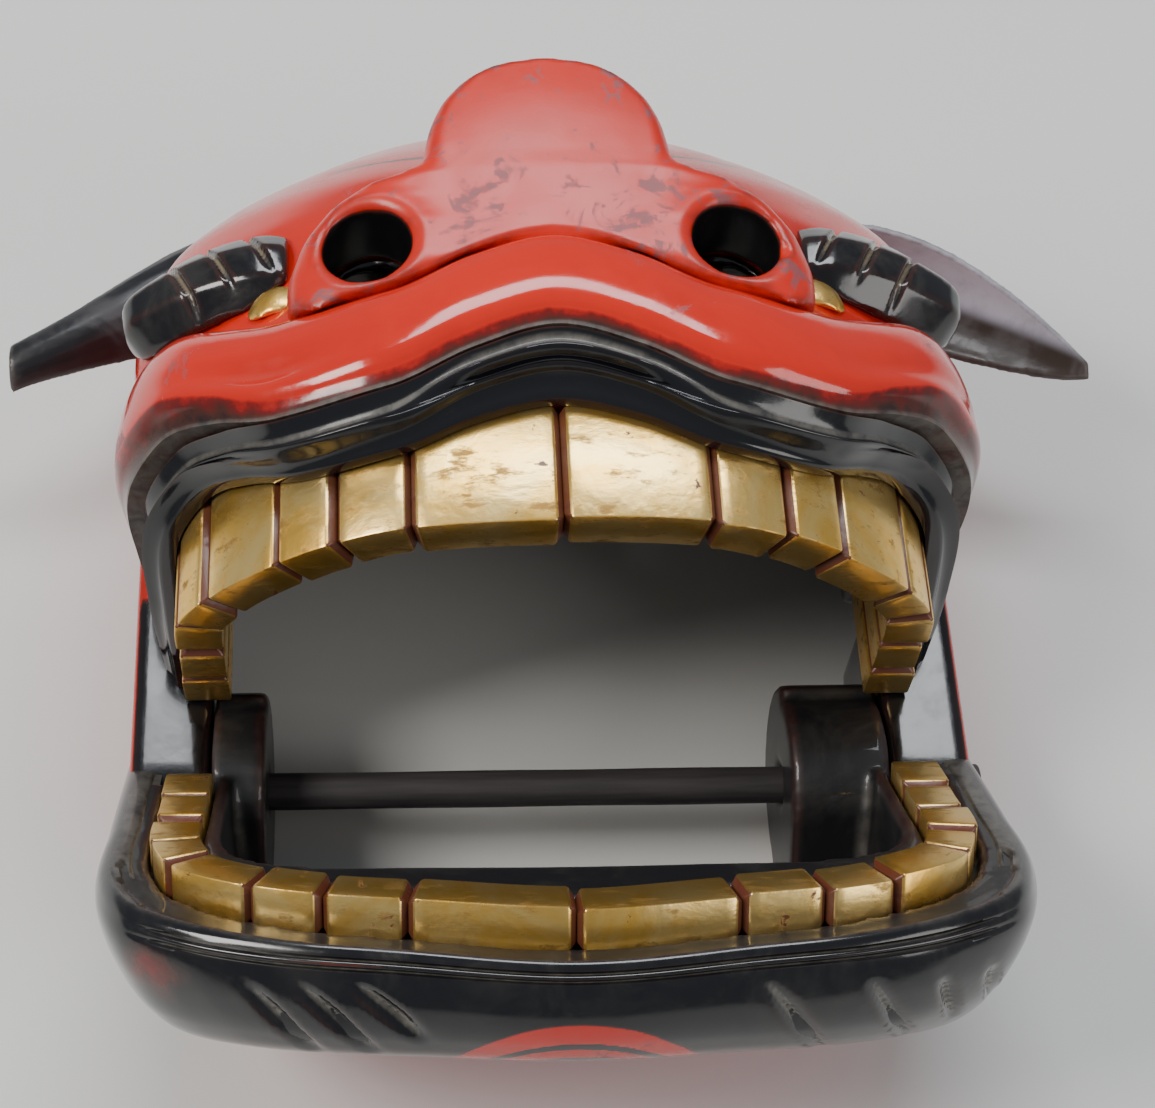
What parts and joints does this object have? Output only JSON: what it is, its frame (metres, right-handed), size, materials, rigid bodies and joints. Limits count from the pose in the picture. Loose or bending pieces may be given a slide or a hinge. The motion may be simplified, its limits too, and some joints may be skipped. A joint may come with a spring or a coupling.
{
  "type": "lion dance head",
  "caption": "Carved and lacquered wooden lion dance head with gilded teeth, black lips and ears, and a hinged jaw dropped wide open.",
  "frame": {"origin": "middle of the bounding box seen from above, on the floor that the open back rim rests on", "axes": "+Z forward out of the muzzle, which points up at rest; +Y to the top of the head; +X across to the ear on the right as one faces the muzzle"},
  "size_m": [0.382, 0.356, 0.1961],
  "materials": {
    "red_lacquer": "vermilion gloss lacquer on carved wood, worn and mottled",
    "black_lacquer": "black gloss lacquer on carved wood, rubbed brown on the edges, dusty in the grooves",
    "gold_leaf": "gold leaf over maroon ground on wood, rubbed",
    "rod_wood": "dark bare wood, matt",
    "ear_black": "satin black lacquer on a thin shell"
  },
  "bodies": {
    "head": {"head_shell": "red_lacquer", "nose": "red_lacquer", "upper_lip_red": "red_lacquer", "upper_lip_black": "black_lacquer", "brow_left": "black_lacquer", "brow_right": "black_lacquer", "eye_left": "gold_leaf", "eye_right": "gold_leaf", "ear_left": "ear_black", "ear_right": "ear_black", "jaw_rod": "rod_wood", "upper_tooth_left_1": "gold_leaf", "upper_tooth_left_2": "gold_leaf", "upper_tooth_left_3": "gold_leaf", "upper_tooth_left_4": "gold_leaf", "upper_tooth_left_5": "gold_leaf", "upper_tooth_left_6": "gold_leaf", "upper_tooth_left_7": "gold_leaf", "upper_tooth_left_8": "gold_leaf", "upper_tooth_right_1": "gold_leaf", "upper_tooth_right_2": "gold_leaf", "upper_tooth_right_3": "gold_leaf", "upper_tooth_right_4": "gold_leaf", "upper_tooth_right_5": "gold_leaf", "upper_tooth_right_6": "gold_leaf", "upper_tooth_right_7": "gold_leaf", "upper_tooth_right_8": "gold_leaf"},
    "jaw": {"jaw": "black_lacquer", "lower_tooth_left_1": "gold_leaf", "lower_tooth_left_2": "gold_leaf", "lower_tooth_left_3": "gold_leaf", "lower_tooth_left_4": "gold_leaf", "lower_tooth_left_5": "gold_leaf", "lower_tooth_left_6": "gold_leaf", "lower_tooth_left_7": "gold_leaf", "lower_tooth_left_8": "gold_leaf", "lower_tooth_right_1": "gold_leaf", "lower_tooth_right_2": "gold_leaf", "lower_tooth_right_3": "gold_leaf", "lower_tooth_right_4": "gold_leaf", "lower_tooth_right_5": "gold_leaf", "lower_tooth_right_6": "gold_leaf", "lower_tooth_right_7": "gold_leaf", "lower_tooth_right_8": "gold_leaf"}
  },
  "joints": [
    {"name": "jaw_hinge", "type": "hinge", "parent": "head", "child": "jaw", "pos_m": [-0.0055, -0.059, 0.038], "axis": [-1, 0, 0], "range_deg": [0, 45.4]}
  ]
}
